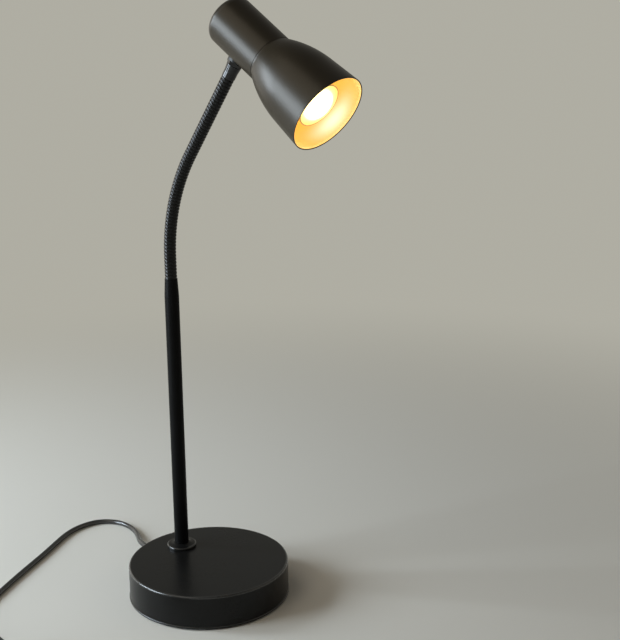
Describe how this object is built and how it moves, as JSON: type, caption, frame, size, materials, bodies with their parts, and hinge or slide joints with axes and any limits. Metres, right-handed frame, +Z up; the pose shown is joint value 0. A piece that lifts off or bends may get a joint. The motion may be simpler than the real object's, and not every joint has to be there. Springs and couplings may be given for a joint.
{
  "type": "desk lamp",
  "caption": "Desk lamp: weighted round base, upright tube, bendable ribbed neck, bell shade over a reflector bulb, and a cord with an in-line rocker switch and a flat plug.",
  "frame": {"origin": "centre of the base's underside, on the table", "axes": "+Z up the stem, -Y to the front, +X to the right seen from the front's back"},
  "size_m": [0.2991, 0.3718, 0.5419],
  "materials": {
    "base_paint": "satin black powder coat",
    "neck_finish": "glossy black coat",
    "shade_paint": "satin black coat",
    "plated_steel": "zinc plated",
    "iron": "as cast",
    "pad_rubber": "foam rubber",
    "cord_sheath": "smooth flexible sheath",
    "black_plastic": "fine texture",
    "rocker_plastic": "smooth",
    "tie_band": "soft band",
    "brass": "bright",
    "bulb_cap_metal": "bright",
    "bulb_mirror": "silvered glass",
    "bulb_front": "frosted, lit warm"
  },
  "bodies": {
    "base": {"foot_pad": "pad_rubber", "bottom_screws": "plated_steel", "bottom_plate": "base_paint", "base_shell": "base_paint", "ballast_disc": "iron", "cord_bushing": "black_plastic", "base_lead": "cord_sheath", "cord_clamp": "plated_steel", "clamp_screws": "plated_steel", "terminal_block": "black_plastic", "terminal_screws": "plated_steel", "base_wires": "cord_sheath", "stem_collar": "base_paint", "stem_tube": "base_paint", "stem_nipple": "plated_steel", "stem_washer": "plated_steel", "stem_nut": "plated_steel", "stem_taper": "base_paint", "stem_lead": "cord_sheath", "neck_lead": "cord_sheath", "neck_link_1": "neck_finish", "cord_run": "cord_sheath", "cord_link": "cord_sheath", "cord_tail": "cord_sheath", "cord_coil": "cord_sheath", "cord_tie": "tie_band", "switch_base": "black_plastic", "switch_cover": "black_plastic", "switch_screws": "plated_steel", "plug_body": "black_plastic", "plug_pins": "plated_steel"},
    "neck_2": {"neck_link_2": "neck_finish"},
    "neck_3": {"neck_link_3": "neck_finish"},
    "neck_4": {"neck_link_4": "neck_finish"},
    "neck_5": {"neck_link_5": "neck_finish"},
    "neck_6": {"neck_link_6": "neck_finish"},
    "neck_7": {"neck_link_7": "neck_finish"},
    "neck_8": {"neck_link_8": "neck_finish"},
    "head": {"neck_link_9": "neck_finish", "neck_ferrule": "neck_finish", "lock_nut": "neck_finish", "head_saddle": "plated_steel", "head_nipple": "plated_steel", "head_nut": "plated_steel", "holder_bracket": "plated_steel", "holder_screw": "plated_steel", "lampholder": "black_plastic", "holder_sleeve": "brass", "holder_contact": "brass", "shade_ring": "black_plastic", "head_lead": "cord_sheath", "socket_cup": "shade_paint", "shade_bell": "shade_paint", "bulb_contact": "brass", "bulb_cap": "bulb_cap_metal", "bulb_reflector": "bulb_mirror", "bulb_lens": "bulb_front"},
    "rocker": {"switch_rocker": "rocker_plastic"}
  },
  "joints": [
    {"name": "neck_nod_1", "type": "hinge", "parent": "base", "child": "neck_2", "pos_m": [0, 0.04298, 0.32014], "axis": [0.9888, 0.1495, 0], "range_deg": [-18, 18], "deforming": ["neck_lead"]},
    {"name": "neck_sway_1", "type": "hinge", "parent": "neck_2", "child": "neck_3", "pos_m": [0.00029, 0.04106, 0.34258], "axis": [-0.1477, 0.9766, 0.1561], "range_deg": [-18, 18], "deforming": ["neck_lead"]},
    {"name": "neck_nod_2", "type": "hinge", "parent": "neck_3", "child": "neck_4", "pos_m": [0.00105, 0.03604, 0.36452], "axis": [0.9888, 0.1495, 0], "range_deg": [-18, 18], "deforming": ["neck_lead"]},
    {"name": "neck_sway_2", "type": "hinge", "parent": "neck_4", "child": "neck_5", "pos_m": [0.00226, 0.02803, 0.38554], "axis": [-0.1354, 0.8952, 0.4246], "range_deg": [-18, 18], "deforming": ["neck_lead"]},
    {"name": "neck_nod_3", "type": "hinge", "parent": "neck_5", "child": "neck_6", "pos_m": [0.00391, 0.01718, 0.40521], "axis": [0.9888, 0.1495, 0], "range_deg": [-18, 18], "deforming": ["neck_lead"]},
    {"name": "neck_sway_3", "type": "hinge", "parent": "neck_6", "child": "neck_7", "pos_m": [0.00586, 0.00428, 0.42358], "axis": [-0.1213, 0.8019, 0.585], "range_deg": [-18, 18], "deforming": ["neck_lead"]},
    {"name": "neck_nod_4", "type": "hinge", "parent": "neck_7", "child": "neck_8", "pos_m": [0.00783, -0.00876, 0.44187], "axis": [0.9888, 0.1495, 0], "range_deg": [-18, 18], "deforming": ["neck_lead"]},
    {"name": "neck_sway_4", "type": "hinge", "parent": "neck_8", "child": "head", "pos_m": [0.0098, -0.0218, 0.46015], "axis": [-0.1213, 0.8019, 0.585], "range_deg": [-18, 18], "deforming": ["neck_lead"]},
    {"name": "rocker_tilt", "type": "hinge", "parent": "base", "child": "rocker", "pos_m": [-0.2105, 0.015, 0.013], "axis": [-1, 0, 0], "range_deg": [0, 18]}
  ],
  "couplings": [
    {"joint": "neck_nod_2", "follows": "neck_nod_1", "ratio": 1},
    {"joint": "neck_sway_2", "follows": "neck_sway_1", "ratio": 1},
    {"joint": "neck_nod_3", "follows": "neck_nod_1", "ratio": 1},
    {"joint": "neck_sway_3", "follows": "neck_sway_1", "ratio": 1},
    {"joint": "neck_nod_4", "follows": "neck_nod_1", "ratio": 1},
    {"joint": "neck_sway_4", "follows": "neck_sway_1", "ratio": 1}
  ]
}
